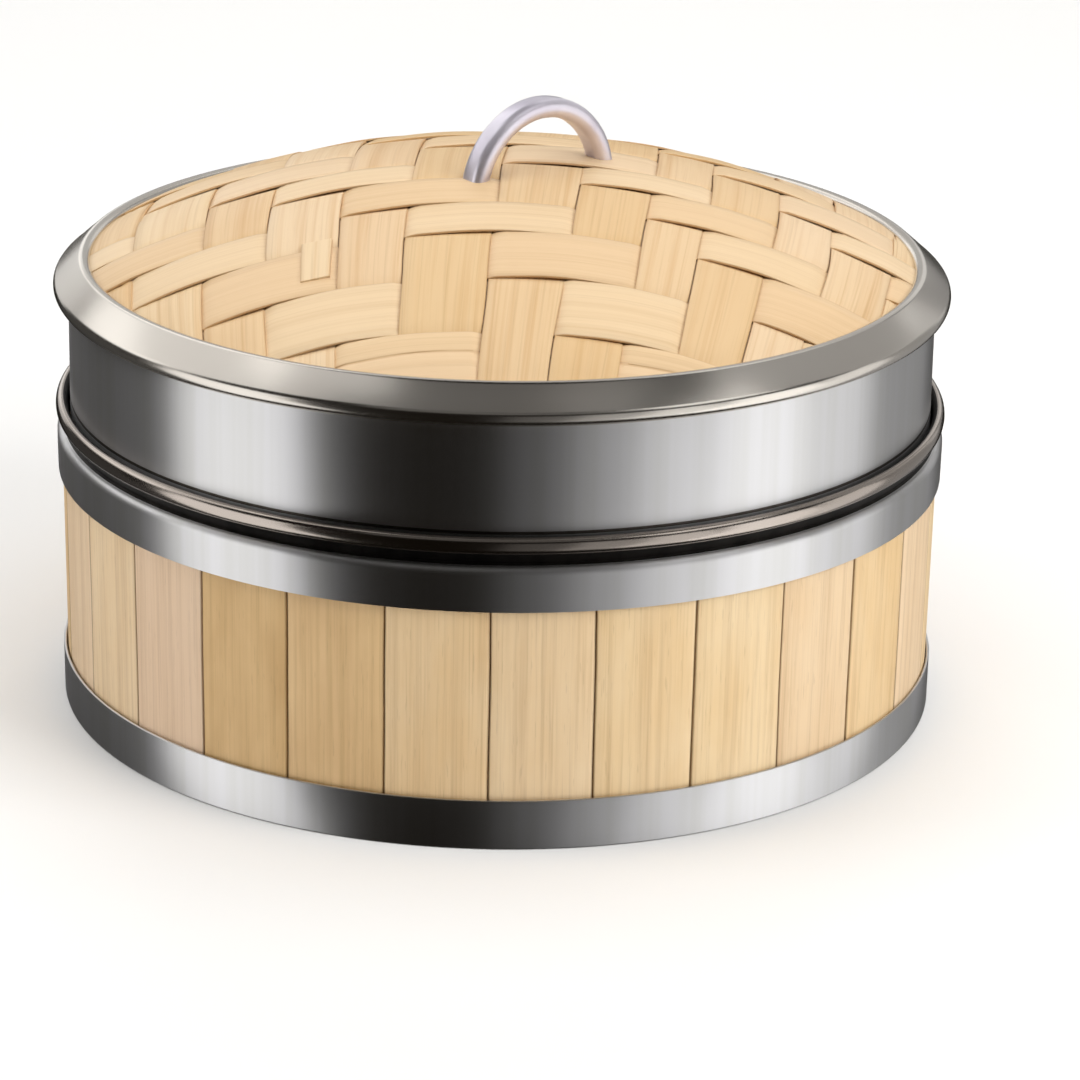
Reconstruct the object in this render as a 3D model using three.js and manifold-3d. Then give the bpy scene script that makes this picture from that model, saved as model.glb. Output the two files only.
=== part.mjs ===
// Bamboo steamer basket. A round wall of upright staves is held by two steel hoops and has a slatted
// floor. Its lid is a steel band with a rolled steel rim, a woven bamboo dome and an arched handle.
// Millimetres, +Z up. The origin is the centre of the base, and +X runs along the handle's arch.

import * as THREE from 'three';
import { mergeVertices } from 'three/addons/utils/BufferGeometryUtils.js';
import Module from 'manifold-3d';

const wasm = await Module();
wasm.setup();

// Clearances and sheet.
const gap = 0.3; // between pieces that touch on the real basket
const sheet = 1.0; // steel band thickness

// Wall.
const staveCount = 28;
const stepsPerStave = 2;
const firstJoint = -2.2; // degrees round from +X to the first joint between staves
const staveThickness = 7;
const staveTop = 91.9;
const staveTopRadius = 148.1; // outer radius at the top of the wall
const wallTaper = 0.012; // radius lost per millimetre down the wall

// Hoops.
const lowerHoopHeight = 16.5;
const flangeRadius = 139; // inner edge of the foot that turns in under the staves
const upperHoopBottom = 80;
const channelBottom = 94.8; // ledge under the channel below the bead
const channelRadius = 146.5;
const ledgeRise = 0.7;
const bead = { r: 147.8, z: 101.4, halfWidth: 2.0, halfHeight: 2.8 };

// Floor.
const supportRing = { inner: 130, outer: 139.8, bottom: 12, top: 22 };
const barCount = 3;
const barSpacing = 70;
const barWidth = 14;
const slatCount = 14;
const slatWidth = 16;
const slatGap = 4;
const slatThickness = 4;
const slatEndRadius = 139.5;

// Lid.
const lidBandInner = 144;
const lidBandTop = 146.4;
const rimSheet = 0.8;
const rimLip = { r: 147.7, z: 142.2, radius: 1.9 }; // middle line of the rolled lip
const rimCrease = { r: 148.2, z: 144.9 };
const rimCrest = { r: 140.7, z: 150.8, radius: 1.4 };
const lidRing = { inner: 138.8, outer: 143.6, bottom: 108, top: 144 };
const domeApex = 182.8;
const domeRadius = 316; // of the sphere that the dome is part of
const domeEdge = 142.6;
const coverThickness = 3;
const liningThickness = 1.5;
const domeSteps = 5;

// Handle.
const handleCentre = { x: 8.8, y: -7 };
const handleWidth = 9.4;
const handleDepth = 6.6;
const handleCorner = 2.3;
const archRadius = 27.6; // to the middle of the bar
const archBase = 174.3; // height of the half circle's centre
const archSteps = 22;
const legShare = 0.08; // of the bar's run that each straight leg takes
const plateDrop = 1.0; // below the lining, so that the flat plate clears its curve
const plateSize = { x: 22, y: 18, z: 1.2 };
const headSize = { x: 11, y: 14, z: 1.6 };

function material(color, roughness, metalness) {
  return new THREE.MeshStandardMaterial({ color, roughness, metalness });
}

const staveBamboo = [0xe2c8a2, 0xd8b98b, 0xe8cda0, 0xdcbd8f].map((c) => material(c, 0.55, 0));
const floorBamboo = material(0xdcc193, 0.6, 0);
const wovenBamboo = material(0xeccca5, 0.5, 0);
const liningBamboo = material(0xd9bb85, 0.6, 0);
const satinSteel = material(0xb9b9bb, 0.32, 1);
const polishedSteel = material(0xc4c0c6, 0.18, 1);

const group = new THREE.Group();
group.name = 'bamboo_steamer_basket';

function add(name, geometry, finish, parent = group) {
  const mesh = new THREE.Mesh(geometry, finish);
  mesh.name = name;
  parent.add(mesh);
  return mesh;
}

// Outer face of the staves at height z.
function wallOuter(z) {
  return staveTopRadius - (staveTop - z) * wallTaper;
}

function hoopInner(z) {
  return wallOuter(z) + gap;
}

function hoopOuter(z) {
  return hoopInner(z) + sheet;
}

// Solid of revolution about Z from [radius, z] points that close on themselves or on the axis.
function spun(profile) {
  const points = profile.map(([r, z]) => new THREE.Vector2(r, z));
  const start = THREE.MathUtils.degToRad(firstJoint);
  const geometry = new THREE.LatheGeometry(points, staveCount * stepsPerStave, start);
  geometry.rotateX(Math.PI / 2);
  return geometry;
}

// A ring from an open list of profile points, which runs up the outer side first.
function turned(profile) {
  return spun([...profile, profile[0]]);
}

// Points on an oval arc about r, z, with angles in degrees from the outward direction.
function arc(r, z, halfWidth, halfHeight, from, to, steps) {
  const points = [];
  for (let i = 0; i <= steps; i += 1) {
    const angle = THREE.MathUtils.degToRad(from + ((to - from) * i) / steps);
    points.push([r + halfWidth * Math.cos(angle), z + halfHeight * Math.sin(angle)]);
  }
  return points;
}

// Profile of a bent sheet about its middle line, which runs with the outside on its right.
function bentSheet(line, thickness) {
  const points = line.map(([r, z]) => new THREE.Vector2(r, z));
  const last = points.length - 1;
  const rightOf = (from, to) => {
    const along = to.clone().sub(from).normalize();
    return new THREE.Vector2(along.y, -along.x);
  };
  const side = (offset) => points.map((point, i) => {
    const before = rightOf(points[Math.max(i, 1) - 1], points[Math.max(i, 1)]);
    const after = rightOf(points[Math.min(i, last - 1)], points[Math.min(i, last - 1) + 1]);
    const mitre = before.clone().add(after).normalize();
    const moved = point.clone().addScaledVector(mitre, offset / mitre.dot(after));
    return [moved.x, moved.y];
  });
  return [...side(thickness / 2), ...side(-thickness / 2).reverse()];
}

function ringProfile({ inner, outer, bottom, top }) {
  return [[inner, bottom], [outer, bottom], [outer, top], [inner, top]];
}

// A stave is a sector of a ring, drawn in at the foot by the wall's taper.
function staveGeometry(index) {
  const step = (2 * Math.PI) / staveCount;
  const start = THREE.MathUtils.degToRad(firstJoint) + index * step;
  const inner = staveTopRadius - staveThickness;
  const margin = gap / inner / 2;
  const shape = new THREE.Shape();
  shape.absarc(0, 0, staveTopRadius, start + margin, start + step - margin, false);
  shape.absarc(0, 0, inner, start + step - margin, start + margin, true);
  const bottom = sheet + gap;
  const depth = staveTop - bottom;
  const geometry = new THREE.ExtrudeGeometry(shape, {
    depth,
    bevelEnabled: false,
    curveSegments: stepsPerStave / 2, // an arc gets two steps for each
  });
  geometry.translate(0, 0, bottom);
  const position = geometry.getAttribute('position');
  for (let i = 0; i < position.count; i += 1) {
    const shrink = wallOuter(position.getZ(i)) / staveTopRadius;
    position.setX(i, position.getX(i) * shrink);
    position.setY(i, position.getY(i) * shrink);
  }
  return geometry;
}

function buildWall() {
  for (let i = 0; i < staveCount; i += 1) {
    const name = `stave_${String(i + 1).padStart(2, '0')}`;
    add(name, staveGeometry(i), staveBamboo[(i * 3) % staveBamboo.length]);
  }
}

// The lower hoop turns in under the staves, which gives the basket its flat foot.
function buildLowerHoop() {
  const line = [
    [flangeRadius, sheet / 2],
    [hoopInner(0) + sheet / 2, sheet / 2],
    [hoopInner(lowerHoopHeight) + sheet / 2, lowerHoopHeight],
  ];
  add('lower_hoop', turned(bentSheet(line, sheet)), satinSteel);
}

// The upper hoop steps in above the staves, stands up as a channel and ends in an oval bead.
function buildUpperHoop() {
  const profile = [
    [hoopInner(upperHoopBottom), upperHoopBottom],
    [hoopOuter(upperHoopBottom), upperHoopBottom],
    [hoopOuter(channelBottom), channelBottom],
    [channelRadius, channelBottom + ledgeRise],
    ...arc(bead.r, bead.z, bead.halfWidth, bead.halfHeight, -75, 215, 7),
    [channelRadius - sheet, bead.z - bead.halfHeight],
    [channelRadius - sheet, channelBottom - sheet + ledgeRise],
    [hoopInner(channelBottom), channelBottom - sheet],
  ];
  add('upper_hoop', turned(profile), satinSteel);
}

// Floor slats lie across the support ring and the cross bars, and end on the wall's circle.
function slatGeometry(index) {
  const pitch = slatWidth + slatGap;
  const low = (index - slatCount / 2) * pitch + slatGap / 2;
  const high = low + slatWidth;
  const lowAngle = Math.asin(low / slatEndRadius);
  const highAngle = Math.asin(high / slatEndRadius);
  const shape = new THREE.Shape();
  shape.absarc(0, 0, slatEndRadius, lowAngle, highAngle, false);
  shape.absarc(0, 0, slatEndRadius, Math.PI - highAngle, Math.PI - lowAngle, false);
  const geometry = new THREE.ExtrudeGeometry(shape, {
    depth: slatThickness,
    bevelEnabled: false,
    curveSegments: 1,
  });
  geometry.translate(0, 0, supportRing.top + gap);
  return geometry;
}

function buildFloor() {
  add('floor_support_ring', turned(ringProfile(supportRing)), floorBamboo);
  const barHeight = supportRing.top - supportRing.bottom;
  const middle = (barCount - 1) / 2;
  for (let i = 0; i < barCount; i += 1) {
    const x = (i - middle) * barSpacing;
    const reach = Math.abs(x) + barWidth / 2;
    const ringFlat = supportRing.inner * Math.cos(Math.PI / staveCount / stepsPerStave);
    const halfLength = Math.sqrt((ringFlat - gap) ** 2 - reach ** 2);
    const box = new THREE.BoxGeometry(barWidth, 2 * halfLength, barHeight);
    const bar = add(`cross_bar_${i + 1}`, box, floorBamboo);
    bar.position.set(x, 0, supportRing.bottom + barHeight / 2);
  }
  for (let i = 0; i < slatCount; i += 1) {
    const name = `floor_slat_${String(i + 1).padStart(2, '0')}`;
    add(name, slatGeometry(i), floorBamboo);
  }
}

// Lid band: the skirt stands on the stave tops, inside the bead.
function buildLidBand(lid) {
  const profile = ringProfile({
    inner: lidBandInner,
    outer: lidBandInner + sheet,
    bottom: staveTop + gap,
    top: lidBandTop,
  });
  add('lid_band', turned(profile), satinSteel, lid);
}

// Lid rim: one thin sheet that returns to the band, rolls round a lip and slopes up to the crest.
function buildLidRim(lid) {
  const returnRadius = lidBandInner + sheet + gap;
  const line = [
    [returnRadius, rimLip.z - rimLip.radius],
    ...arc(rimLip.r, rimLip.z, rimLip.radius, rimLip.radius, -90, 50, 4),
    [rimCrease.r, rimCrease.z],
    ...arc(rimCrest.r, rimCrest.z, rimCrest.radius, rimCrest.radius, 46, 160, 2),
  ];
  add('lid_rim', turned(bentSheet(line, rimSheet)), satinSteel, lid);
}

// Points on a dome arc of the given sphere radius, from the axis out to the dome's edge.
function domeArc(radius) {
  const last = Math.asin(domeEdge / domeRadius);
  const points = [];
  for (let i = 0; i <= domeSteps; i += 1) {
    const angle = (last * i) / domeSteps;
    points.push([radius * Math.sin(angle), domeApex - domeRadius + radius * Math.cos(angle)]);
  }
  return points;
}

// A shell between two spheres about one centre, down by drop from the dome's top surface.
function domeShell(drop, thickness) {
  const under = domeArc(domeRadius - drop - thickness);
  const over = domeArc(domeRadius - drop).reverse();
  return spun([...under, ...over]);
}

// Height of a dome surface that is drop below the top surface, at a point x, y.
function domeHeight(x, y, drop) {
  const radius = domeRadius - drop;
  return domeApex - domeRadius + Math.sqrt(radius ** 2 - x ** 2 - y ** 2);
}

function solidOf(geometry) {
  const bare = geometry.clone();
  bare.deleteAttribute('normal');
  bare.deleteAttribute('uv');
  const merged = mergeVertices(bare, 1e-4);
  const mesh = new wasm.Mesh({
    numProp: 3,
    vertProperties: new Float32Array(merged.getAttribute('position').array),
    triVerts: new Uint32Array(merged.getIndex().array),
  });
  return new wasm.Manifold(mesh);
}

function geometryOf(solid) {
  const mesh = solid.getMesh();
  const geometry = new THREE.BufferGeometry();
  geometry.setAttribute('position', new THREE.BufferAttribute(mesh.vertProperties, 3));
  geometry.setIndex(new THREE.BufferAttribute(mesh.triVerts, 1));
  geometry.computeVertexNormals();
  return geometry;
}

// Middle line of the handle's bar: up one leg, over a half circle and down the other leg.
class ArchCurve extends THREE.Curve {
  constructor(legBottoms) {
    super();
    this.legBottoms = legBottoms;
  }

  getPoint(t, target = new THREE.Vector3()) {
    const [leftBottom, rightBottom] = this.legBottoms;
    const { x, y } = handleCentre;
    if (t < legShare) {
      const z = THREE.MathUtils.lerp(leftBottom, archBase, t / legShare);
      return target.set(x - archRadius, y, z);
    }
    if (t > 1 - legShare) {
      const z = THREE.MathUtils.lerp(rightBottom, archBase, (1 - t) / legShare);
      return target.set(x + archRadius, y, z);
    }
    const angle = (Math.PI * (t - legShare)) / (1 - 2 * legShare);
    const along = x - archRadius * Math.cos(angle);
    return target.set(along, y, archBase + archRadius * Math.sin(angle));
  }
}

// Flat oval section of the bar, grown by extra on every side.
function barSection(extra) {
  const halfDepth = handleDepth / 2 + extra;
  const halfWidth = handleWidth / 2 + extra;
  const corner = handleCorner + extra;
  const shape = new THREE.Shape();
  shape.absarc(halfWidth - corner, halfDepth - corner, corner, 0, Math.PI / 2, false);
  shape.absarc(corner - halfWidth, halfDepth - corner, corner, Math.PI / 2, Math.PI, false);
  shape.absarc(corner - halfWidth, corner - halfDepth, corner, Math.PI, Math.PI * 1.5, false);
  shape.absarc(halfWidth - corner, corner - halfDepth, corner, Math.PI * 1.5, Math.PI * 2, false);
  return shape;
}

function handleBar(extra, legBottoms) {
  return new THREE.ExtrudeGeometry(barSection(extra), {
    steps: archSteps,
    curveSegments: 1,
    bevelEnabled: false,
    extrudePath: new ArchCurve(legBottoms),
  });
}

// A box laid parallel to the dome at x, y, with its top face drop below the dome's top surface.
function tiltedBox(size, x, y, drop) {
  const normal = new THREE.Vector3(x, y, Math.sqrt(domeRadius ** 2 - x ** 2 - y ** 2)).normalize();
  const box = new THREE.BoxGeometry(size.x, size.y, size.z);
  box.translate(0, 0, -size.z / 2);
  const turn = new THREE.Quaternion().setFromUnitVectors(new THREE.Vector3(0, 0, 1), normal);
  box.applyQuaternion(turn);
  box.translate(x, y, domeHeight(x, y, drop));
  return box;
}

// The handle's legs pass through the cover, the lining and a plate each, and end in riveted heads.
function buildDomeAndHandle(lid) {
  const liningDrop = coverThickness + gap;
  const plateTop = liningDrop + liningThickness + plateDrop;
  const headTop = plateTop + plateSize.z + gap;
  const { y } = handleCentre;
  const feet = [handleCentre.x - archRadius, handleCentre.x + archRadius];
  const legBottoms = feet.map((x) => domeHeight(x, y, headTop + headSize.z / 2));
  const cutter = solidOf(handleBar(gap, legBottoms.map((z) => z - headSize.z)));
  const pierced = (geometry) => geometryOf(solidOf(geometry).subtract(cutter));

  add('woven_cover', pierced(domeShell(0, coverThickness)), wovenBamboo, lid);
  add('woven_lining', pierced(domeShell(liningDrop, liningThickness)), liningBamboo, lid);
  feet.forEach((x, i) => {
    const plate = pierced(tiltedBox(plateSize, x, y, plateTop));
    add(`handle_plate_${i + 1}`, plate, satinSteel, lid);
  });

  let handle = solidOf(handleBar(0, legBottoms));
  feet.forEach((x) => {
    handle = handle.add(solidOf(tiltedBox(headSize, x, y, headTop)));
  });
  add('handle', geometryOf(handle), polishedSteel, lid);
}

function buildLid() {
  const lid = new THREE.Group();
  group.add(lid);
  buildLidBand(lid);
  buildLidRim(lid);
  add('lid_bamboo_ring', turned(ringProfile(lidRing)), floorBamboo, lid);
  buildDomeAndHandle(lid);
}

buildWall();
buildLowerHoop();
buildUpperHoop();
buildFloor();
buildLid();

export default group;
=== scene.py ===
# Looks of the bamboo steamer basket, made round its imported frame. Blender works in metres, and
# the sizes in the dictionaries below are in millimetres, unless a note says metres.
import math
import random

import bmesh
import bpy
from mathutils import Matrix, Vector, noise


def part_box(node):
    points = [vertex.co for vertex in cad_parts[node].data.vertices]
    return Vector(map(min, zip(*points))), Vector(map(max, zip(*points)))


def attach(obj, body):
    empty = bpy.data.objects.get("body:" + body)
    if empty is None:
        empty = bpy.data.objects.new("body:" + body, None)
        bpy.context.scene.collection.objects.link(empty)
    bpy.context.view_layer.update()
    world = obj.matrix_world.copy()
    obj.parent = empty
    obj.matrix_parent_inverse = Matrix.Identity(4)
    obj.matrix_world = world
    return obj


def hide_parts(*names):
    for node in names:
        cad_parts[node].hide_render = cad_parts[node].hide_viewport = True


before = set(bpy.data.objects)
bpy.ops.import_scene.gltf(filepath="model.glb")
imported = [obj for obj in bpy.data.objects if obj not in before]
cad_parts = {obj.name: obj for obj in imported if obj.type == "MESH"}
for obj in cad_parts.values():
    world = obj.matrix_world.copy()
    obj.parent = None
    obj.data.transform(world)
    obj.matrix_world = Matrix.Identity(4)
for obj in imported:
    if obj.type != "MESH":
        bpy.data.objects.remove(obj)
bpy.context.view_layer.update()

mm = 0.001
up = Vector((0, 0, 1))
dice = random.Random(11)

# The side that faces the camera is this many degrees round from +X.
front = math.radians(-130)
toRight = Vector((-math.sin(front), math.cos(front), 0))
toBack = Vector((-math.cos(front), -math.sin(front), 0))


def smooth(share):  # 0 to 1, level at both ends
    share = min(max(share, 0), 1)
    return share * share * (3 - 2 * share)


# Shader nodes.


def colour(code):  # hex code to a linear colour
    parts = [(code >> shift & 255) / 255 for shift in (16, 8, 0)]
    return (*[c / 12.92 if c < 0.04 else ((c + 0.055) / 1.055) ** 2.4 for c in parts], 1)


class Value:  # a socket that can be written into sums
    def __init__(self, finish, socket):
        self.finish = finish
        self.socket = socket

    def maths(self, operation, first, second):
        return self.finish.add("Math", {"operation": operation}, {0: first, 1: second})

    def __add__(self, other):
        return self.maths("ADD", self, other)

    def __sub__(self, other):
        return self.maths("SUBTRACT", self, other)

    def __rsub__(self, other):
        return self.maths("SUBTRACT", other, self)

    def __mul__(self, other):
        return self.maths("MULTIPLY", self, other)

    __radd__ = __add__
    __rmul__ = __mul__


class Finish:  # one material and the nodes in it
    def __init__(self, name, fixed):
        self.material = bpy.data.materials.new(name)
        self.material.use_nodes = True
        self.tree = self.material.node_tree
        self.shader = self.tree.nodes["Principled BSDF"]
        for key, value in fixed.items():
            self.shader.inputs[key].default_value = value

    def feed(self, socket, value):
        if isinstance(value, Value):
            self.tree.links.new(value.socket, socket)
        else:
            socket.default_value = value

    def add(self, kind, settings, inputs, output=0):
        node = self.tree.nodes.new("ShaderNode" + kind)
        for key, value in settings.items():
            if key == "stops":
                self.setStops(node.color_ramp, value)
            else:
                setattr(node, key, value)
        for key, value in inputs.items():
            self.feed(node.inputs[key], value)
        return Value(self, node.outputs[output])

    def setStops(self, ramp, stops):
        while len(ramp.elements) < len(stops):
            ramp.elements.new(0.5)
        for element, (position, tint) in zip(ramp.elements, stops):
            element.position = position
            element.color = tint

    def attribute(self, name):
        return self.add("Attribute", {"attribute_name": name}, {}, "Fac")

    def stretch(self, vector, scale):
        return self.add("Mapping", {}, {"Vector": vector, "Scale": scale})

    def vector(self, x, y, z):
        return self.add("CombineXYZ", {}, {0: x, 1: y, 2: z})

    def grain(self, vector, detail=2.0, rough=0.5):
        inputs = {"Vector": vector, "Scale": 1.0, "Detail": detail, "Roughness": rough}
        return self.add("TexNoise", {}, inputs)

    def between(self, value, low, high, first=0.0, last=1.0):
        settings = {"interpolation_type": "SMOOTHSTEP"}
        return self.add("MapRange", settings, {0: value, 1: low, 2: high, 3: first, 4: last})

    def mix(self, share, first, second, blend="MIX"):
        settings = {"data_type": "RGBA", "blend_type": blend}
        return self.add("Mix", settings, {0: share, 6: first, 7: second}, 2)

    def bump(self, height, strength, distance):
        inputs = {"Height": height, "Strength": strength, "Distance": distance * mm}
        return self.add("Bump", {}, inputs)

    def finished(self, varying):
        for key, value in varying.items():
            self.feed(self.shader.inputs[key], value)
        return self.material


# Bamboo. Tone runs from deep to pale, and the shares say how much each mark shows.

boardLook = {
    "deep": 0xC9A066, "mid": 0xEAC68E, "pale": 0xF8E1B9, "blush": 0xEBCDB2,
    "streak": 0xAE8148, "streakShare": 0.30, "hair": 0x946A38, "hairShare": 0.15,
    "fleck": 0x7A5228, "fleckShare": 0.12, "blotchShare": 0.55,
    "edge": 0x6E4A22, "edgeWidth": 0.7, "edgeShare": 0.5, "shine": 0.35, "roughness": 0.5,
    "roughSpread": 0.2, "relief": 0.3,
}
slatLook = {**boardLook, "deep": 0xB78D52, "mid": 0xD3AE76, "pale": 0xE6C896, "edgeWidth": 0.5}
coverLook = {
    **boardLook, "deep": 0xD6B07A, "mid": 0xE1C192, "pale": 0xE8CEA8, "blush": 0xE3C4A0,
    "streak": 0xB98B52, "streakShare": 0.22, "hairShare": 0.10, "fleckShare": 0.04,
    "blotchShare": 0.2, "edge": 0xA87740, "edgeWidth": 0.5, "edgeShare": 0.35, "roughness": 0.42,
    "relief": 0.2,
}
columnLook = {
    **coverLook, "deep": 0xD6B07A, "mid": 0xE2C498, "pale": 0xECD6B4, "streak": 0xC08C4A,
    "streakShare": 0.45, "hairShare": 0.16, "relief": 0.3,
}
liningLook = {**coverLook, "deep": 0xB88A4C, "mid": 0xCFA76A, "pale": 0xE0BF88}


# How fine each mark is across and along the fibres, and the part of its noise that shows.
fibreMarks = {
    "streak": {"fine": (330, 330, 4), "detail": 4, "rough": 0.62, "from": 0.42, "to": 0.78},
    "hair": {"fine": (1300, 1300, 12), "detail": 2, "rough": 0.5, "from": 0.5, "to": 0.75},
    "fleck": {"fine": (1500, 1500, 110), "detail": 1, "rough": 0.5, "from": 0.66, "to": 0.74},
}
blotch = {"fine": (60, 60, 22), "detail": 3, "rough": 0.6}
fibreRelief = {"streak": 0.6, "hair": 0.4, "depth": 0.25}
toneSlide = 9.1  # metres that the pattern moves by over the range of tones, so that no two match
ringReach = 0.14  # metres from the axis, which makes a turn about it a length along a ring


def fibreSpace(finish, fibres):  # metres, with the third part running along the fibres
    if fibres == "strip":
        flat = finish.add("UVMap", {"uv_map": "strip"}, {})
        across = finish.add("SeparateXYZ", {}, {0: flat}, "X")
        along = finish.add("SeparateXYZ", {}, {0: flat}, "Y")
        return finish.vector(across, 0.0, along)
    spot = finish.add("TexCoord", {}, {}, "Object")
    x, y, z = [finish.add("SeparateXYZ", {}, {0: spot}, part) for part in "XYZ"]
    if fibres == "x":
        return finish.vector(y, z, x)
    if fibres == "y":
        return finish.vector(x, z, y)
    if fibres == "z":
        return spot
    flat = finish.vector(x, y, 0.0)
    radius = finish.add("VectorMath", {"operation": "LENGTH"}, {0: flat}, "Value")
    turn = finish.add("Math", {"operation": "ARCTAN2"}, {0: y, 1: x})
    return finish.vector(radius, z, turn * ringReach)


def bamboo(name, look, fibres):
    finish = Finish(name, {"Specular IOR Level": look["shine"]})
    tone = finish.attribute("tone")
    slide = tone * toneSlide
    moves = {0: fibreSpace(finish, fibres), 1: finish.vector(slide, slide, slide)}
    spot = finish.add("VectorMath", {"operation": "ADD"}, moves)
    blotches = finish.grain(finish.stretch(spot, blotch["fine"]), blotch["detail"], blotch["rough"])
    shade = tone + (blotches - 0.5) * look["blotchShare"]
    stops = [(0, colour(look["deep"])), (0.5, colour(look["mid"])), (1, colour(look["pale"]))]
    body = finish.add("ValToRGB", {"stops": stops}, {0: shade})
    body = finish.mix(finish.attribute("blush"), body, colour(look["blush"]))
    grains = {}
    for key, sizes in fibreMarks.items():
        stretched = finish.stretch(spot, sizes["fine"])
        grains[key] = finish.grain(stretched, sizes["detail"], sizes["rough"])
        share = finish.between(grains[key], sizes["from"], sizes["to"]) * look[key + "Share"]
        body = finish.mix(share, body, colour(look[key]))
    inset, width = finish.attribute("inset"), look["edgeWidth"] * mm
    edgeShare = finish.between(inset, 0.0, width, look["edgeShare"], 0.0)
    body = finish.mix(edgeShare, body, colour(look["edge"]))
    height = grains["streak"] * fibreRelief["streak"] + grains["hair"] * fibreRelief["hair"]
    return finish.finished({
        "Base Color": body,
        "Roughness": (grains["hair"] - 0.5) * look["roughSpread"] + look["roughness"],
        "Normal": finish.bump(height, look["relief"], fibreRelief["depth"]),
    })


# Steel. The bands are brushed round their length, so their shine is drawn out up and down.

satinLook = {
    "metal": 1.0, "pale": 0xDAD9DA, "dull": 0xD2D1CF, "roughness": 0.37, "spread": 0.015,
    "stretch": 0.8, "stretchTurn": 0.25, "smear": (95, 95, 1.5), "smearFrom": 0.35, "smearTo": 0.7,
    "brush": (9, 9, 2600), "relief": 0.03, "depth": 0.05,
}
# Painted shadow: dark steel for a thin band on the lid skirt just above the bead, where shade falls
# in the gap between them.
gapShadowLook = {**satinLook, "pale": 0x6A635C, "dull": 0x544E48}
rolledLook = {
    **satinLook, "pale": 0xDAD4CB, "dull": 0xD4CDC4, "roughness": 0.23, "stretch": 0.3,
    "relief": 0.0, "smear": (14, 14, 14), "brush": (9, 9, 900),
}
beadLook = {**rolledLook, "pale": 0xB8AEA5, "dull": 0xAFA59C, "roughness": 0.2}
# Painted shade: near-black steel for the channel under the bead and the bead's inner side, where
# shade falls in the recess and in the gap under the lid skirt.
channelShadeLook = {**satinLook, "pale": 0x3A3734, "dull": 0x262422, "roughness": 0.5, "stretch": 0.0}
handleLook = {
    **satinLook, "metal": 0.75, "pale": 0xE2DDE7, "dull": 0xD5CFDB, "roughness": 0.34,
    "spread": 0.06, "stretch": 0.0, "smear": (60, 60, 60), "brush": (220, 220, 220), "relief": 0.01,
}


def steel(name, look):
    fixed = {"Metallic": look["metal"]}
    if look["stretch"]:
        fixed.update({"Anisotropic": look["stretch"], "Anisotropic Rotation": look["stretchTurn"]})
    finish = Finish(name, fixed)
    spot = finish.add("TexCoord", {}, {}, "Object")
    smears = finish.grain(finish.stretch(spot, look["smear"]), detail=3, rough=0.6)
    lines = finish.grain(finish.stretch(spot, look["brush"]))
    share = finish.between(smears, look["smearFrom"], look["smearTo"])
    spread = look["spread"]
    return finish.finished({
        "Base Color": finish.mix(share, colour(look["pale"]), colour(look["dull"])),
        "Roughness": (smears - 0.5) * spread + (lines - 0.5) * spread + look["roughness"],
        "Normal": finish.bump(lines, look["relief"], look["depth"]),
    })


boardBamboo = bamboo("board_bamboo", boardLook, "z")
slatBamboo = bamboo("slat_bamboo", slatLook, "x")
barBamboo = bamboo("bar_bamboo", slatLook, "y")
ringBamboo = bamboo("ring_bamboo", slatLook, "ring")
coverBamboo = bamboo("cover_bamboo", coverLook, "strip")
columnBamboo = bamboo("column_bamboo", columnLook, "strip")
liningBamboo = bamboo("lining_bamboo", liningLook, "strip")
satinSteel = steel("satin_steel", satinLook)
gapShadowSteel = steel("gap_shadow_steel", gapShadowLook)
rolledSteel = steel("rolled_steel", rolledLook)
beadSteel = steel("bead_steel", beadLook)
channelShadeSteel = steel("channel_shade_steel", channelShadeLook)
handleSteel = steel("handle_steel", handleLook)
print("stage: finishes made")


# What every piece is made with.

ringSteps = 224  # faces round a full turn


def newMesh(source=None):
    bm = bmesh.new()
    if source:
        bm.from_mesh(source)
    for name in ("tone", "blush", "inset"):
        bm.verts.layers.float.new(name)
    return bm


def mark(bm, tone=0.5):  # one tone all over, no blush, and nothing near a dark edge
    layers = bm.verts.layers.float
    for vert in bm.verts:
        vert[layers["tone"]] = tone
        vert[layers["blush"]] = 0
        vert[layers["inset"]] = 10 * mm


def place(bm, name, material, body, nodes, crease=40):
    mesh = bpy.data.meshes.new(name)
    bm.to_mesh(mesh)
    bm.free()
    mesh.shade_smooth()
    mesh.set_sharp_from_angle(angle=math.radians(crease))
    mesh.materials.append(material)
    piece = bpy.data.objects.new(name, mesh)
    bpy.context.scene.collection.objects.link(piece)
    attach(piece, body)
    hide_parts(*nodes)
    return piece


def bevel(bm, geometry, width, steps, affect="EDGES"):
    bmesh.ops.bevel(
        bm, geom=geometry, offset=width * mm, offset_type="OFFSET", segments=steps, profile=0.5,
        affect=affect, material=-1, clamp_overlap=True,
    )


def roundEdges(bm, width, sharpest=30):
    edges = [edge for edge in bm.edges if edge.calc_face_angle(0) > math.radians(sharpest)]
    bevel(bm, edges, width, 2)


def thicken(piece, thickness, ease=0, steps=1, even=False):  # both ways from the sheet's middle
    solid = piece.modifiers.new("thickness", "SOLIDIFY")
    solid.thickness = thickness * mm
    solid.offset = 0
    solid.use_even_offset = even
    if ease:
        rounding = piece.modifiers.new("ease", "BEVEL")
        rounding.width = ease * mm
        rounding.segments = steps
        rounding.limit_method = "ANGLE"
        rounding.angle_limit = math.radians(60)


def profileLoop(bm, points, corner):  # a closed line of edges beside the axis, corners rounded
    verts = [bm.verts.new((r * mm, 0, z * mm)) for r, z in points]
    bm.faces.new(verts)
    if corner:
        bevel(bm, verts, corner, 3, "VERTICES")
    bmesh.ops.delete(bm, geom=bm.faces[:], context="FACES_ONLY")
    return bm.verts[:] + bm.edges[:]


def profileLine(bm, points):  # an open line of edges beside the axis
    verts = [bm.verts.new((r * mm, 0, z * mm)) for r, z in points]
    return verts + [bm.edges.new(pair) for pair in zip(verts, verts[1:])]


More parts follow.
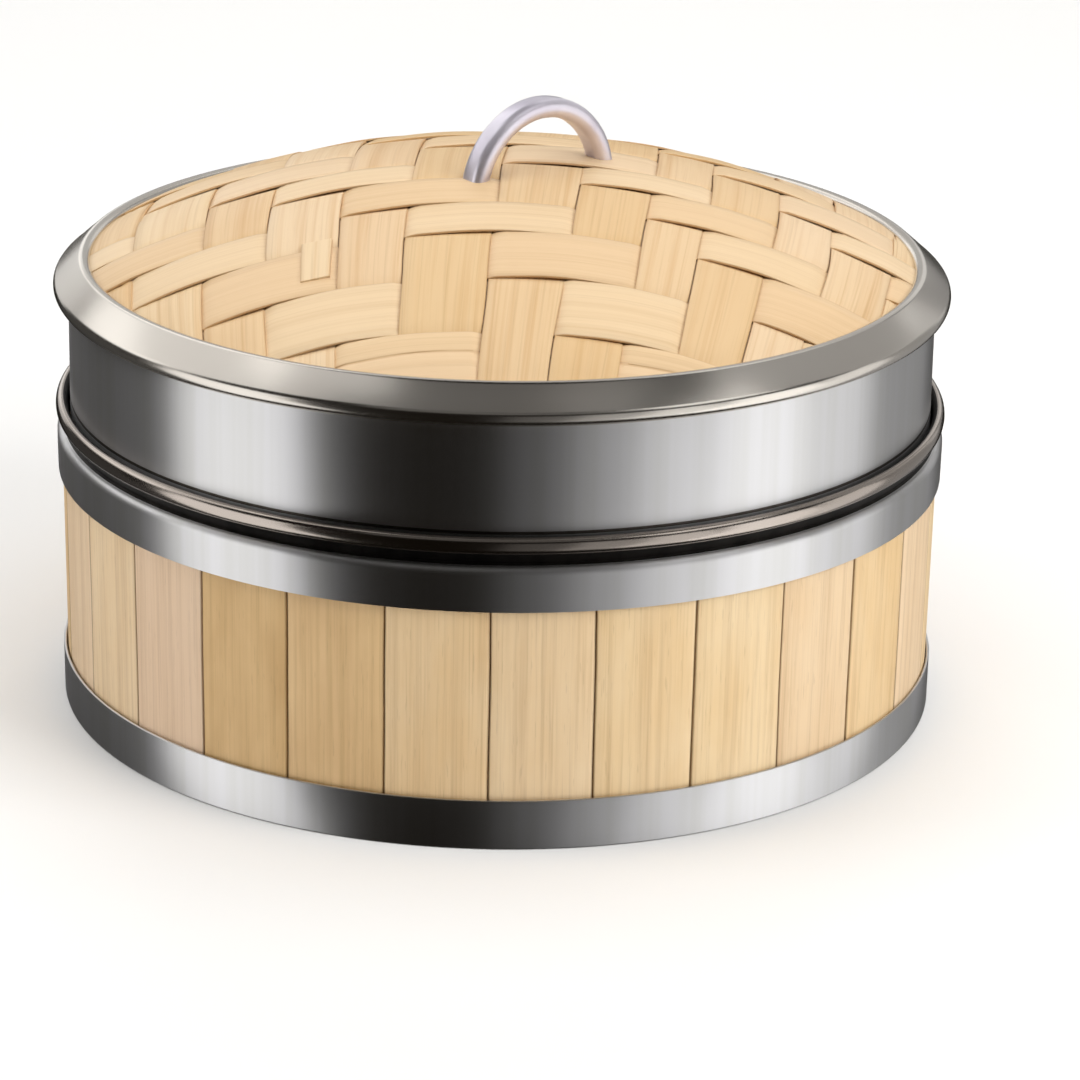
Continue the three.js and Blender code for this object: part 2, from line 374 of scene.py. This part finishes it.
def spinRound(bm, geometry):
    bmesh.ops.spin(
        bm, geom=geometry, cent=(0, 0, 0), axis=up, angle=2 * math.pi, steps=ringSteps,
        use_merge=True,
    )
    bmesh.ops.remove_doubles(bm, verts=bm.verts, dist=0.001 * mm)
    bmesh.ops.recalc_face_normals(bm, faces=bm.faces)
    mark(bm)


def arc(r, z, halfWidth, halfHeight, start, end, steps):
    turns = [math.radians(start + (end - start) * i / steps) for i in range(steps + 1)]
    return [(r + halfWidth * math.cos(a), z + halfHeight * math.sin(a)) for a in turns]


# Wall of upright boards.

wall = {
    "count": 28, "firstJoint": -2.2, "gap": 0.3, "thickness": 7, "bottom": 1.3, "top": 91.9,
    "topRadius": 148.1, "taper": 0.012, "edge": 0.6, "waver": 0.3, "waverLength": 28,
    "unevenness": 0.3, "tones": (0.3, 0.85), "blushes": (0, 0.5), "steps": 8, "rises": 9,
}
# Tone and blush of the boards on the seen side, by number. The rest are drawn by chance.
chosenBoards = {
    13: (0.85, 0.50), 14: (0.80, 0.25), 15: (0.70, 0.75), 16: (0.30, 0.00), 17: (0.38, 0.10),
    18: (0.62, 0.15), 19: (0.72, 0.20), 20: (0.66, 0.05), 21: (0.74, 0.00), 22: (0.70, 0.30),
    23: (0.60, 0.05), 24: (0.75, 0.40),
}
jointSpacing = 7.3  # how far apart the joints are in the noise, so that each wavers on its own
noiseLevel = 0.5


def wallOuter(z):
    return wall["topRadius"] - (wall["top"] - z) * wall["taper"]


def jointWaver(joint, z):
    spot = Vector((joint % wall["count"] * jointSpacing, z / wall["waverLength"], noiseLevel))
    return wall["waver"] * noise.noise(spot)


def buildBoard(index):
    step = 2 * math.pi / wall["count"]
    start = math.radians(wall["firstJoint"]) + index * step
    bm = newMesh()
    height = wall["top"] - wall["bottom"]
    rises = [wall["bottom"] + height * i / wall["rises"] for i in range(wall["rises"] + 1)]
    setBack = dice.uniform(0, wall["unevenness"])
    innerShare = 1 - wall["thickness"] / wall["topRadius"]
    outer = [(wallOuter(z) - setBack, z) for z in rises]
    inner = [(wallOuter(z) * innerShare, z) for z in reversed(rises)]
    face = bm.faces.new([bm.verts.new((r * mm, 0, z * mm)) for r, z in outer + inner])
    bmesh.ops.rotate(bm, verts=bm.verts, cent=(0, 0, 0), matrix=Matrix.Rotation(start, 3, "Z"))
    bmesh.ops.spin(
        bm, geom=[face], cent=(0, 0, 0), axis=up, angle=step, steps=wall["steps"], use_merge=False
    )
    bmesh.ops.recalc_face_normals(bm, faces=bm.faces)
    layers = bm.verts.layers.float
    drawn = (dice.uniform(*wall["tones"]), dice.uniform(*wall["blushes"]))
    tone, blush = chosenBoards.get(index + 1, drawn)
    for vert in bm.verts:
        radius = vert.co.xy.length / mm
        turned = math.atan2(vert.co.y, vert.co.x) - start
        share = ((turned + math.pi) % (2 * math.pi) - math.pi) / step
        z = vert.co.z / mm
        slide = (1 - share) * jointWaver(index, z) + share * jointWaver(index + 1, z)
        slide += wall["gap"] * (0.5 - share)
        vert.co = Matrix.Rotation(slide / radius, 3, "Z") @ vert.co
        vert[layers["tone"]] = tone
        vert[layers["blush"]] = blush
        vert[layers["inset"]] = min(share, 1 - share) * step * radius * mm
    roundEdges(bm, wall["edge"])
    number = f"{index + 1:02d}"
    place(bm, f"board_{number}", boardBamboo, "basket", [f"stave_{number}"])


for index in range(wall["count"]):
    buildBoard(index)
print("stage: wall of boards")


# Hoops of the basket.

hoops = {
    "clearance": 0.3, "sheet": 1.0, "lowerHeight": 16.5, "flangeRadius": 139,
    "upperBottom": 80, "ledge": 94.8, "ledgeRise": 0.7, "channelRadius": 146.5,
    "beadRadius": 147.8, "beadHeight": 101.4, "beadHalfWidth": 2.0, "beadHalfHeight": 2.8,
    "beadTurn": (-75, 215), "beadSteps": 26, "bend": 2.8, "bendTurn": 80, "bendSteps": 8,
    "innerLedgeDrop": 0.3, "darkFrom": 95, "gapShadeRadius": 147.5, "corner": 0.35,
}


def hoopFace(z, side):  # 0 for the inner face and 1 for the outer face
    return wallOuter(z) + hoops["clearance"] + side * hoops["sheet"]


def buildLowerHoop():
    sheet, height = hoops["sheet"], hoops["lowerHeight"]
    bm = newMesh()
    points = [
        (hoops["flangeRadius"], 0), (hoopFace(0, 1), 0), (hoopFace(height, 1), height),
        (hoopFace(height, 0), height), (hoopFace(sheet, 0), sheet), (hoops["flangeRadius"], sheet),
    ]
    spinRound(bm, profileLoop(bm, points, hoops["corner"]))
    place(bm, "lower_band", satinSteel, "basket", ["lower_hoop"])


def buildUpperHoop():
    low, ledge, sheet = hoops["upperBottom"], hoops["ledge"], hoops["sheet"]
    channel, bead, bend = hoops["channelRadius"], hoops["beadHeight"], hoops["bend"]
    halfWidth, halfHeight = hoops["beadHalfWidth"], hoops["beadHalfHeight"]
    ledgeCentre = (hoopFace(ledge, 1) - bend, ledge - bend)
    bm = newMesh()
    points = [
        (hoopFace(low, 0), low), (hoopFace(low, 1), low),
        *arc(*ledgeCentre, bend, bend, 0, hoops["bendTurn"], hoops["bendSteps"]),
        (channel, ledge + hoops["ledgeRise"]),
        *arc(
            hoops["beadRadius"], bead, halfWidth, halfHeight, *hoops["beadTurn"], hoops["beadSteps"]
        ),
        (channel - sheet, bead - halfHeight),
        (channel - sheet, ledge - hoops["innerLedgeDrop"]),
        (hoopFace(ledge, 0), ledge - sheet),
    ]
    spinRound(bm, profileLoop(bm, points, 0))
    # Above the ledge the bead takes bead steel, and the channel and the bead's inner side take the
    # near-black steel, painted shade of the recess and the gap.
    for face in bm.faces:
        middle = face.calc_center_median() / mm
        radius = middle.xy.length
        if middle.z > hoops["darkFrom"]:
            inChannel = middle.z < bead - halfHeight and radius > channel - sheet / 2
            face.material_index = 2 if inChannel or radius < hoops["gapShadeRadius"] else 1
    piece = place(bm, "upper_band", satinSteel, "basket", ["upper_hoop"])
    piece.data.materials.append(beadSteel)
    piece.data.materials.append(channelShadeSteel)


buildLowerHoop()
buildUpperHoop()
print("stage: basket hoops")


# Floor of slats on bars, from the frame's own pieces with their edges eased.

floorLook = {
    "slats": 14, "slatEdge": 0.8, "slatTones": (0.25, 0.85),
    "bars": 3, "barEdge": 1.0, "barTones": (0.3, 0.7),
}


def eased(node, name, material, body, width, tone=0.5):
    bm = newMesh(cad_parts[node].data)
    bmesh.ops.remove_doubles(bm, verts=bm.verts, dist=0.01 * mm)
    bmesh.ops.dissolve_limit(bm, angle_limit=math.radians(1), verts=bm.verts, edges=bm.edges)
    roundEdges(bm, width)
    mark(bm, tone)
    place(bm, name, material, body, [node])


for index in range(floorLook["slats"]):
    number = f"{index + 1:02d}"
    eased(
        f"floor_slat_{number}", f"slat_{number}", slatBamboo, "basket",
        floorLook["slatEdge"], dice.uniform(*floorLook["slatTones"]),
    )
for index in range(floorLook["bars"]):
    eased(
        f"cross_bar_{index + 1}", f"bar_{index + 1}", barBamboo, "basket",
        floorLook["barEdge"], dice.uniform(*floorLook["barTones"]),
    )

# Bamboo rings, under the floor and inside the lid. Their heights come from the frame.
bambooRings = {
    "floor_support_ring": {"inner": 130, "outer": 139.8, "corner": 1.2},
    "lid_bamboo_ring": {"inner": 138.8, "outer": 143.6, "corner": 0.8},
}


def buildBambooRing(node, name, body):
    low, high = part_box(node)
    sizes = bambooRings[node]
    points = [
        (sizes["inner"], low.z / mm), (sizes["outer"], low.z / mm),
        (sizes["outer"], high.z / mm), (sizes["inner"], high.z / mm),
    ]
    bm = newMesh()
    spinRound(bm, profileLoop(bm, points, sizes["corner"]))
    place(bm, name, ringBamboo, body, [node])


buildBambooRing("floor_support_ring", "support_ring", "basket")
buildBambooRing("lid_bamboo_ring", "lid_ring", "lid")
print("stage: slatted floor and bamboo rings")


# Lid band and its rolled rim.

lidSteel = {
    "inner": 144, "outer": 145, "bottom": 92.2, "top": 146.4, "corner": 0.3,
    "shadowLow": 104.0, "shadowHigh": 105.2,
    "rimSheet": 0.8, "returnRadius": 145.3, "lip": (147.1, 143.0), "lipRadius": 2.5,
    "crest": (140.0, 149.6), "crestRadius": 2.2, "slope": 49, "curl": 185, "rollSteps": 18,
    "rimEase": 0.2,
}


def buildLidBand():
    sizes = lidSteel
    points = [
        (sizes["inner"], sizes["bottom"]), (sizes["outer"], sizes["bottom"]),
        (sizes["outer"], sizes["shadowLow"]), (sizes["outer"], sizes["shadowHigh"]),
        (sizes["outer"], sizes["top"]), (sizes["inner"], sizes["top"]),
    ]
    bm = newMesh()
    spinRound(bm, profileLoop(bm, points, sizes["corner"]))
    halfway = (sizes["inner"] + sizes["outer"]) / 2
    # Outer faces between the two heights take the dark steel, a painted shadow of the gap above the
    # bead.
    for face in bm.faces:
        middle = face.calc_center_median() / mm
        if middle.xy.length > halfway and sizes["shadowLow"] < middle.z < sizes["shadowHigh"]:
            face.material_index = 1
    piece = place(bm, "lid_skirt", satinSteel, "lid", ["lid_band"])
    piece.data.materials.append(gapShadowSteel)


def buildLidRim():
    sizes = lidSteel
    lip, crest, steps = sizes["lipRadius"], sizes["crestRadius"], sizes["rollSteps"]
    line = [
        (sizes["returnRadius"], sizes["lip"][1] - lip),
        *arc(*sizes["lip"], lip, lip, -90, sizes["slope"], steps),
        *arc(*sizes["crest"], crest, crest, sizes["slope"], sizes["curl"], steps),
    ]
    bm = newMesh()
    spinRound(bm, profileLine(bm, line))
    piece = place(bm, "lid_roll", rolledSteel, "lid", ["lid_rim"], crease=75)
    thicken(piece, sizes["rimSheet"], sizes["rimEase"], steps=2, even=True)


buildLidBand()
buildLidRim()
print("stage: lid steel")


# Woven cover and lining. Columns run from front to back and rows from side to side, as seen. The
# columns and rows of the cover are given by the lines between their strips, at the dome's middle.

dome = {"apex": 182.8, "radius": 316, "edge": 142.2, "calmFrom": 126, "calmShare": 0.5}
strips = {
    "tones": (0.3, 0.9), "blushes": (0, 0.5), "columnShade": 0.15, "waverLength": 40,
    "waverSpread": 9, "crease": 75,
}
cover = {
    **strips,
    "columns": [-146, -122.8, -98.2, -76.4, -52, -29.5, -0.2, 26.2, 50.6, 69.6, 92.3, 111, 132, 152],
    "rows": [-146, -115, -88, -60, -38.5, -15.5, 3.5, 30, 54, 78, 102, 126, 152],
    "splitRow": -124, "gap": 0.45, "thickness": 0.7, "ease": 0.2, "drop": 1.6, "rise": 0.8,
    "slope": 8, "rowBow": 0.5, "columnBow": 0.3, "across": 6, "along": 118, "waver": 0.9,
    "bent": True, "rowSeed": 0.5, "columnSeed": 50.5,
}
lining = {
    **strips, "pitch": 9, "gap": 0.7, "thickness": 0.4, "drop": 4.1, "rise": 0.3, "slope": 5,
    "rowBow": 0, "columnBow": 0, "across": 2, "along": 84, "waver": 0.2, "bent": False,
    "rowSeed": 21.5, "columnSeed": 20.5,
}
# A short loose strip that lies over the weave. Strips in the weave run from rim to rim.
patch = {
    "across": (-64.2, -54.0), "span": (-79.5, -56.3), "lift": 0.6, "shade": 0.5, "seed": 90.5,
}
inWeave = {"span": None, "lift": 0, "shade": 0}
# How the cover's strips splay, lean and sag over the dome, and the passes that settle them.
bending = {"middle": 33, "splay": 413, "lean": 0.053, "sag": 0.0006, "passes": 4}
rimSearch = {"far": 150, "stride": 2, "halvings": 12, "drawIn": 0.995}


def seenFromAbove(weave, isRow, along, across):
    x, y = (along, across) if isRow else (across, along)
    if not weave["bent"]:
        return x, y
    side, away = x, y
    for turn in range(bending["passes"]):
        narrowing = ((away - bending["middle"]) / bending["splay"]) ** 2
        side = x * (1 - narrowing) + bending["lean"] * away
        away = y - bending["sag"] * side * side
    return side, away


def lift(weave, along, edges, over, bow):  # height of a strip's middle at a place along it
    low = -weave["rise"]
    height = weave["rise"] if over[0] else low
    for edge, before, after in zip(edges[1:], over, over[1:]):
        if before != after:
            share = smooth((along - edge) / weave["slope"] + 0.5)
            height += (share if after else -share) * 2 * weave["rise"]
    starts = [i for i in range(len(over)) if over[i] and (i == 0 or not over[i - 1])]
    for start in starts:
        end = start
        while end < len(over) and over[end]:
            end += 1
        share = (along - edges[start]) / (edges[end] - edges[start])
        if 0 < share < 1:
            height += bow * math.sin(math.pi * share) ** 2
    return height


def reach(weave, isRow, across):  # where a line of the weave meets the rim at either end
    def inside(along):
        return math.hypot(*seenFromAbove(weave, isRow, along, across)) < dome["edge"]

    far, stride = rimSearch["far"], rimSearch["stride"]
    held = [along for along in range(-far, far + 1, stride) if inside(along)]
    if not held:
        return None
    ends = []
    for last, past in ((held[0], held[0] - stride), (held[-1], held[-1] + stride)):
        for halving in range(rimSearch["halvings"]):
            middle = (last + past) / 2
            last, past = (middle, past) if inside(middle) else (last, middle)
        ends.append(last)
    return ends


def onDome(x, y, height, drop):
    radius = dome["radius"] - drop
    point = toRight * x + toBack * y
    normal = (point + up * math.sqrt(radius ** 2 - x * x - y * y)).normalized()
    return (up * (dome["apex"] - dome["radius"]) + normal * (radius + height)) * mm


def addStrip(bm, weave, isRow, low, high, edges, over, seed, held=inWeave):
    flat = bm.loops.layers.uv["strip"]
    layers = bm.verts.layers.float
    made = bmesh.ops.create_grid(
        bm, x_segments=weave["along"], y_segments=weave["across"], size=1
    )["verts"]
    tone = dice.uniform(*weave["tones"]) + held["shade"]
    blush = dice.uniform(*weave["blushes"])
    if not isRow:
        tone -= weave["columnShade"]
    bow = weave["rowBow"] if isRow else weave["columnBow"]
    spots = {}
    for vert in made:
        side, run = vert.co.y, (vert.co.x + 1) / 2
        across = (low + high) / 2 + side * (high - low - weave["gap"]) / 2
        ends = held["span"] or reach(weave, isRow, across)
        if ends is None:  # a line past the rim is drawn in to its strip's inner side
            across = (low if abs(low) < abs(high) else high) * rimSearch["drawIn"]
            ends = reach(weave, isRow, across)
        along = ends[0] + run * (ends[1] - ends[0])
        left, right = [
            noise.noise(Vector((along / weave["waverLength"], seed, edge / weave["waverSpread"])))
            for edge in (low, high)
        ]
        across += weave["waver"] * (left * (1 - side) + right * (1 + side)) / 2
        x, y = seenFromAbove(weave, isRow, along, across)
        distance = math.hypot(x, y)
        if distance > dome["edge"]:
            x, y = x * dome["edge"] / distance, y * dome["edge"] / distance
        nearRim = (distance - dome["calmFrom"]) / (dome["edge"] - dome["calmFrom"])
        calm = 1 - dome["calmShare"] * smooth(nearRim)
        height = calm * lift(weave, along, edges, over, bow) + held["lift"]
        vert.co = onDome(x, y, height, weave["drop"])
        spots[vert] = ((across - low) * mm, along * mm)
        vert[layers["tone"]] = tone
        vert[layers["blush"]] = blush
        vert[layers["inset"]] = (1 - abs(side)) * (high - low) / 2 * mm
    for face in {f for vert in made for f in vert.link_faces}:
        face.material_index = 0 if isRow else 1
        for loop in face.loops:
            loop[flat].uv = spots[loop.vert]


def newWeave():
    bm = newMesh()
    bm.loops.layers.uv.new("strip")
    return bm


def finishWeave(bm, weave, name, rowFinish, columnFinish, node):
    bmesh.ops.recalc_face_normals(bm, faces=bm.faces)
    piece = place(bm, name, rowFinish, "lid", [node], weave["crease"])
    piece.data.materials.append(columnFinish)
    thicken(piece, weave["thickness"], weave.get("ease", 0))


def buildCover():  # a twill, two over and two under
    bm = newWeave()
    columns, rows = cover["columns"], cover["rows"]
    for i, (low, high) in enumerate(zip(rows, rows[1:])):
        over = [(i + j) % 4 in (0, 1) for j in range(len(columns) - 1)]
        cuts = [low, cover["splitRow"], high] if i == 0 else [low, high]
        for start, end in zip(cuts, cuts[1:]):
            addStrip(bm, cover, True, start, end, columns, over, cover["rowSeed"])
    for j, (low, high) in enumerate(zip(columns, columns[1:])):
        over = [(i + j) % 4 not in (0, 1) for i in range(len(rows) - 1)]
        addStrip(bm, cover, False, low, high, rows, over, cover["columnSeed"])
    always = [True] * (len(rows) - 1)
    addStrip(bm, cover, False, *patch["across"], rows, always, patch["seed"], patch)
    finishWeave(bm, cover, "cover_weave", coverBamboo, columnBamboo, "woven_cover")


def buildLining():  # a plain weave, one over and one under
    bm = newWeave()
    count = math.ceil(dome["edge"] / lining["pitch"])
    edges = [k * lining["pitch"] for k in range(-count, count + 1)]
    for isRow in (True, False):
        seed = lining["rowSeed"] if isRow else lining["columnSeed"]
        for i, (low, high) in enumerate(zip(edges, edges[1:])):
            over = [(i + j + isRow) % 2 == 0 for j in range(len(edges) - 1)]
            addStrip(bm, lining, isRow, low, high, edges, over, seed)
    finishWeave(
        bm, lining, "lining_weave", liningBamboo, liningBamboo, "woven_lining"
    )


buildCover()
buildLining()
print("stage: woven cover and lining")


# Handle: a flat oval bar in a half circle, with a riveted head under each leg.

handle = {
    "x": 8.8, "y": -7, "radius": 27.6, "base": 174.3, "halfDepth": 3.3, "halfWidth": 4.7,
    "corner": 2.9, "cornerSteps": 6, "steps": 64,
    "head": (11, 14, 1.6), "headDrop": 7.3, "headEdge": 0.5, "headSteps": 3, "plateEdge": 0.25,
}


def underDome(x, y, drop):
    radius = dome["radius"] - drop
    return dome["apex"] - dome["radius"] + math.sqrt(radius ** 2 - x * x - y * y)


def addHead(bm, x, y):
    size = Vector(handle["head"])
    made = bmesh.ops.create_cube(bm, size=1)["verts"]
    normal = Vector((x, y, math.sqrt(dome["radius"] ** 2 - x * x - y * y)))
    turn = up.rotation_difference(normal).to_matrix().to_4x4()
    top = Vector((x, y, underDome(x, y, handle["headDrop"])))
    lower = Matrix.Translation((0, 0, -size.z / 2 * mm))
    stretch = Matrix.Diagonal((*(size * mm), 1))
    shape = Matrix.Translation(top * mm) @ turn @ lower @ stretch
    bmesh.ops.transform(bm, verts=made, matrix=shape)
    edges = {e for vert in made for e in vert.link_edges}
    bevel(bm, list(edges), handle["headEdge"], handle["headSteps"])


def isLegEnd(face):  # looks straight down from the height where the half circle starts
    height = face.calc_center_median().z / mm
    return face.normal.z < -0.99 and abs(height - handle["base"]) < 0.01


def buildHandle():
    bm = newMesh()
    x, y, base = handle["x"], handle["y"], handle["base"]
    verts = []
    for acrossBar, alongBar in ((-1, -1), (1, -1), (1, 1), (-1, 1)):
        cornerX = x - handle["radius"] + acrossBar * handle["halfDepth"]
        cornerY = y + alongBar * handle["halfWidth"]
        verts.append(bm.verts.new((cornerX * mm, cornerY * mm, base * mm)))
    bm.faces.new(verts)
    bevel(bm, verts, handle["corner"], handle["cornerSteps"], "VERTICES")
    bmesh.ops.spin(
        bm, geom=bm.faces[:], cent=Vector((x, y, base)) * mm, axis=(0, 1, 0), angle=math.pi,
        steps=handle["steps"], use_merge=False,
    )
    bmesh.ops.recalc_face_normals(bm, faces=bm.faces)
    for face in [face for face in bm.faces if isLegEnd(face)]:
        side = face.calc_center_median().x / mm
        legEnd = bmesh.ops.extrude_discrete_faces(bm, faces=[face])["faces"][0]
        drop = base - underDome(side, y, handle["headDrop"] + handle["head"][2] / 2)
        bmesh.ops.translate(bm, verts=legEnd.verts, vec=(0, 0, -drop * mm))
        addHead(bm, side, y)
    mark(bm)
    place(bm, "handle_bar", handleSteel, "lid", ["handle"])


buildHandle()
for index in (1, 2):
    eased(
        f"handle_plate_{index}", f"backing_plate_{index}", satinSteel, "lid",
        handle["plateEdge"],
    )
print("stage: handle")


# Floor, camera and lights.

studio = {
    "floorRadius": 9, "lightAim": 0.08, "far": 60,  # metres
    "floorDrop": 0.2, "floorSides": 96, "floorTint": 0xF7F6F4, "cloudTint": 0xE9E7E4,
    "cloudShare": 0.03, "cloud": (6, 6, 6), "dark": (0.006, 0.004, 0.002, 1),
}


def buildStudioFloor():
    finish = Finish("studio_floor", {"Roughness": 0.9, "Specular IOR Level": 0.0})
    spot = finish.add("TexCoord", {}, {}, "Object")
    clouds = finish.grain(finish.stretch(spot, studio["cloud"])) * studio["cloudShare"]
    tint = finish.mix(clouds, colour(studio["floorTint"]), colour(studio["cloudTint"]))
    bm = bmesh.new()
    bmesh.ops.create_circle(
        bm, cap_ends=True, segments=studio["floorSides"], radius=studio["floorRadius"]
    )
    bmesh.ops.translate(bm, verts=bm.verts, vec=(0, 0, -studio["floorDrop"] * mm))
    mesh = bpy.data.meshes.new("studio_floor")
    bm.to_mesh(mesh)
    bm.free()
    mesh.materials.append(finish.finished({"Base Color": tint}))
    floor = bpy.data.objects.new("studio_floor", mesh)
    bpy.context.scene.collection.objects.link(floor)
    floor.visible_glossy = False
    floor.visible_shadow = False


# Turns are in radians.
view = {
    "lens": 147.7, "elevation": 0.3325, "distance": 1507, "height": 80, "roll": 0.0157,
    "shiftX": 0.0375, "shiftY": -0.0788,
}


def buildCamera():
    rise, roll = view["elevation"], view["roll"]
    ahead = toBack * math.cos(rise) - up * math.sin(rise)
    level = up * math.cos(rise) + toBack * math.sin(rise)
    right = toRight * math.cos(roll) + level * math.sin(roll)
    top = level * math.cos(roll) - toRight * math.sin(roll)
    data = bpy.data.cameras.new("camera")
    data.lens = view["lens"]
    data.shift_x = view["shiftX"]
    data.shift_y = view["shiftY"]
    data.clip_end = studio["far"]
    camera = bpy.data.objects.new("camera", data)
    turn = Matrix((right, top, -ahead)).transposed().to_4x4()
    spot = (up * view["height"] - ahead * view["distance"]) * mm
    camera.matrix_world = Matrix.Translation(spot) @ turn
    bpy.context.scene.collection.objects.link(camera)
    bpy.context.scene.camera = camera


# Each light: degrees to the right of the front, degrees up, distance, width and height in metres,
# brightness, and what it lights. Cards only show in shiny surfaces, and lamps light the rest.
lights = {
    "overhead_lamp": (0, 89, 2.4, 3.0, 3.0, 2.1, "lamp"),
    "right_lamp": (58, 32, 2.6, 1.6, 1.6, 5.0, "lamp"),
    "left_lamp": (-85, 20, 2.6, 1.4, 1.4, 3.4, "lamp"),
    "back_lamp": (180, 35, 2.6, 1.8, 1.2, 2.4, "lamp"),
    "left_card": (-70, -12, 2.4, 1.7, 3.4, 1.3, "card"),
    "far_left_card": (-125, -20, 2.4, 1.9, 2.4, 0.05, "card"),
    "right_card_1": (10, -12, 2.4, 0.7, 3.4, 0.11, "card"),
    "right_card_2": (27, -12, 2.4, 0.7, 3.4, 0.42, "card"),
    "right_card_3": (45, -12, 2.4, 0.8, 3.4, 0.95, "card"),
    "right_card_4": (70, -12, 2.4, 1.2, 3.4, 1.45, "card"),
    "right_card_5": (97, -12, 2.4, 1.0, 3.4, 1.0, "card"),
    "right_card_6": (128, -12, 2.4, 1.5, 3.4, 0.33, "card"),
    "left_low_card": (-154, 9, 2.6, 1.4, 0.9, 0.8, "card"),
    "left_top_card": (-126, 42, 2.6, 2.6, 2.0, 0.95, "card"),
    "left_high_card": (-92, 65, 2.6, 1.0, 0.9, 0.8, "card"),
    "left_lip_card": (-112, 26, 2.6, 2.2, 0.8, 0.5, "card"),
    "right_low_card": (152, 12, 2.6, 1.5, 1.2, 0.3, "card"),
    "right_top_card": (122, 42, 2.6, 1.8, 2.0, 0.4, "card"),
    "right_high_card": (62, 72, 2.6, 0.9, 0.6, 0.14, "card"),
    "right_back_card": (146, 60, 2.6, 0.9, 0.6, 0.6, "card"),
    "front_top_card": (0, 76, 2.6, 2.0, 0.9, 0.16, "card"),
    "front_lip_card": (0, 52, 2.6, 2.6, 0.9, 0.14, "card"),
    "right_lip_card": (66, 49, 2.6, 1.4, 0.8, 1.25, "card"),
    "back_card": (180, 34, 2.6, 2.8, 2.6, 0.55, "card"),
}


def buildLights():
    for name, (side, rise, distance, width, height, brightness, kind) in lights.items():
        data = bpy.data.lights.new(name, "AREA")
        data.shape = "RECTANGLE"
        data.size, data.size_y = width, height
        data.energy = brightness * math.pi * width * height
        light = bpy.data.objects.new(name, data)
        turn = front + math.radians(side)
        flat = Vector((math.cos(turn), math.sin(turn), 0)) * math.cos(math.radians(rise))
        outward = flat + up * math.sin(math.radians(rise))
        light.location = outward * distance + up * studio["lightAim"]
        light.rotation_euler = outward.to_track_quat("Z", "Y").to_euler()
        if kind == "lamp":
            light.visible_glossy = False
        else:
            light.visible_diffuse = False
        bpy.context.scene.collection.objects.link(light)
    world = bpy.data.worlds.new("world")
    world.use_nodes = True
    world.node_tree.nodes["Background"].inputs["Color"].default_value = studio["dark"]
    bpy.context.scene.world = world


buildStudioFloor()
buildCamera()
buildLights()
bpy.context.scene.view_settings.view_transform = "Standard"
print("stage: studio")
